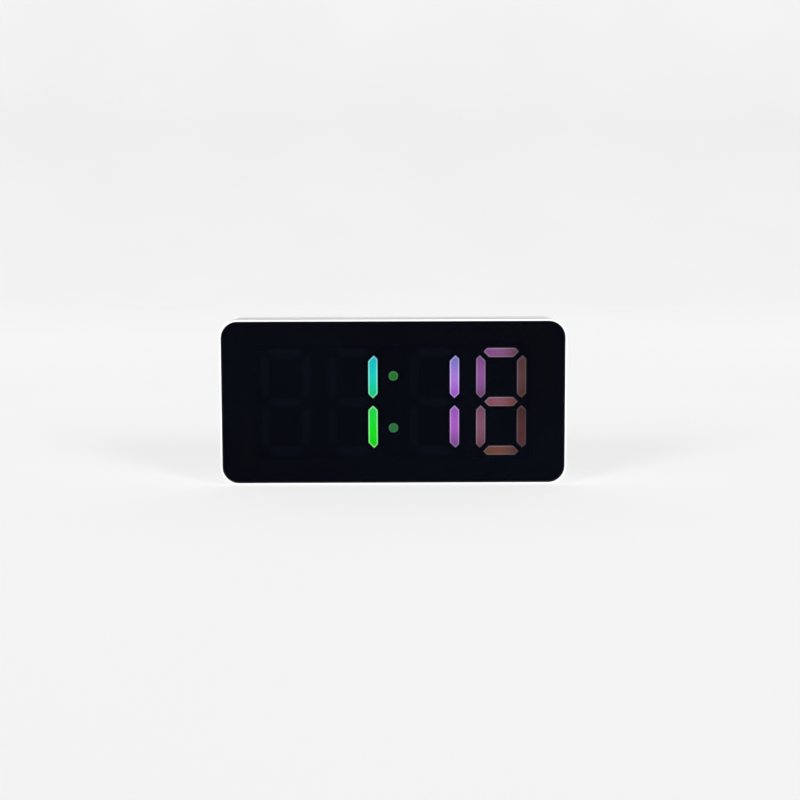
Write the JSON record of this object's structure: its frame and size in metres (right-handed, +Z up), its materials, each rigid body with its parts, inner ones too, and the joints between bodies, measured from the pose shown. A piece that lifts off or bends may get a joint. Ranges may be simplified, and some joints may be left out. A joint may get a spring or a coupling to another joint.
{
  "type": "digital led desk clock",
  "caption": "Slim box clock with a dark half-mirror face over lit seven-bar digits, rear buttons, a flush top bar, a power socket and a battery door.",
  "frame": {"origin": "middle of the clock's box at the bottom of its feet", "axes": "+X to the right seen from the front, the face looks along -Y, +Z up"},
  "size_m": [0.157, 0.034, 0.0753],
  "materials": {
    "housing_white": "fine satin moulded",
    "tinted_mirror_acrylic": "polished, half mirrored",
    "black_tape": "matt foam tape",
    "reflector_black": "matt moulded",
    "digit_1_diffuser": "glowing diffuser",
    "digit_2_diffuser": "glowing diffuser",
    "digit_3_diffuser": "glowing diffuser",
    "digit_4_diffuser": "glowing diffuser",
    "colon_diffuser": "glowing diffuser",
    "led_chip": "clear resin",
    "circuit_board": "solder mask",
    "screw_steel": "zinc plated",
    "chip_black": "matt epoxy",
    "crystal_can": "drawn can",
    "capacitor_can": "drawn can",
    "connector_ivory": "moulded nylon",
    "cable_grey": "soft insulation",
    "switch_black": "moulded",
    "foot_rubber": "pale soft rubber",
    "socket_steel": "stamped",
    "buzzer_black": "moulded",
    "cell_can": "printed can, left plain",
    "contact_nickel": "nickel plated",
    "lead_red": "soft insulation",
    "lead_black": "soft insulation",
    "plunger_grey": "moulded",
    "button_white": "satin moulded"
  },
  "bodies": {
    "clock_case": {"front_housing": "housing_white", "front_panel": "tinted_mirror_acrylic", "panel_tape": "black_tape", "display_reflector": "reflector_black", "digit_1_segments": "digit_1_diffuser", "digit_2_segments": "digit_2_diffuser", "digit_3_segments": "digit_3_diffuser", "digit_4_segments": "digit_4_diffuser", "colon_dots": "colon_diffuser", "led_chips": "led_chip", "main_board": "circuit_board", "board_screws": "screw_steel", "clock_chip": "chip_black", "driver_chip": "chip_black", "clock_crystal": "crystal_can", "capacitors": "capacitor_can", "chip_resistors": "chip_black", "cable_sockets": "connector_ivory", "board_cable": "cable_grey", "snooze_switch": "switch_black", "rear_shell": "housing_white", "housing_screws": "screw_steel", "rubber_feet": "foot_rubber", "tact_switches": "switch_black", "button_board": "circuit_board", "button_board_screws": "screw_steel", "power_socket": "socket_steel", "buzzer": "buzzer_black", "battery_cells": "cell_can", "contact_plates": "contact_nickel", "contact_springs": "contact_nickel", "lead_sockets": "connector_ivory", "battery_leads": "lead_red", "buzzer_leads": "lead_black"},
    "snooze_bar": {"snooze_key": "housing_white", "snooze_plunger": "plunger_grey"},
    "mode_button": {"button_mode": "button_white", "plunger_mode": "plunger_grey"},
    "set_button": {"button_set": "button_white", "plunger_set": "plunger_grey"},
    "up_button": {"button_up": "button_white", "plunger_up": "plunger_grey"},
    "down_button": {"button_down": "button_white", "plunger_down": "plunger_grey"},
    "alarm_button": {"button_alarm": "button_white", "plunger_alarm": "plunger_grey"},
    "door": {"battery_door": "housing_white"}
  },
  "joints": [
    {"name": "snooze_press", "type": "slide", "parent": "clock_case", "child": "snooze_bar", "axis": [0, 0, -1], "range_m": [0, 0.0006], "stiffness_N_per_m": 1500},
    {"name": "mode_press", "type": "slide", "parent": "clock_case", "child": "mode_button", "axis": [0, -1, 0], "range_m": [0, 0.0005], "stiffness_N_per_m": 1500},
    {"name": "set_press", "type": "slide", "parent": "clock_case", "child": "set_button", "axis": [0, -1, 0], "range_m": [0, 0.0005], "stiffness_N_per_m": 1500},
    {"name": "up_press", "type": "slide", "parent": "clock_case", "child": "up_button", "axis": [0, -1, 0], "range_m": [0, 0.0005], "stiffness_N_per_m": 1500},
    {"name": "down_press", "type": "slide", "parent": "clock_case", "child": "down_button", "axis": [0, -1, 0], "range_m": [0, 0.0005], "stiffness_N_per_m": 1500},
    {"name": "alarm_press", "type": "slide", "parent": "clock_case", "child": "alarm_button", "axis": [0, -1, 0], "range_m": [0, 0.0005], "stiffness_N_per_m": 1500},
    {"name": "battery_door_swing", "type": "hinge", "parent": "clock_case", "child": "door", "pos_m": [0, 0.017, 0.0077], "axis": [-1, 0, 0], "range_deg": [0, 60]}
  ]
}
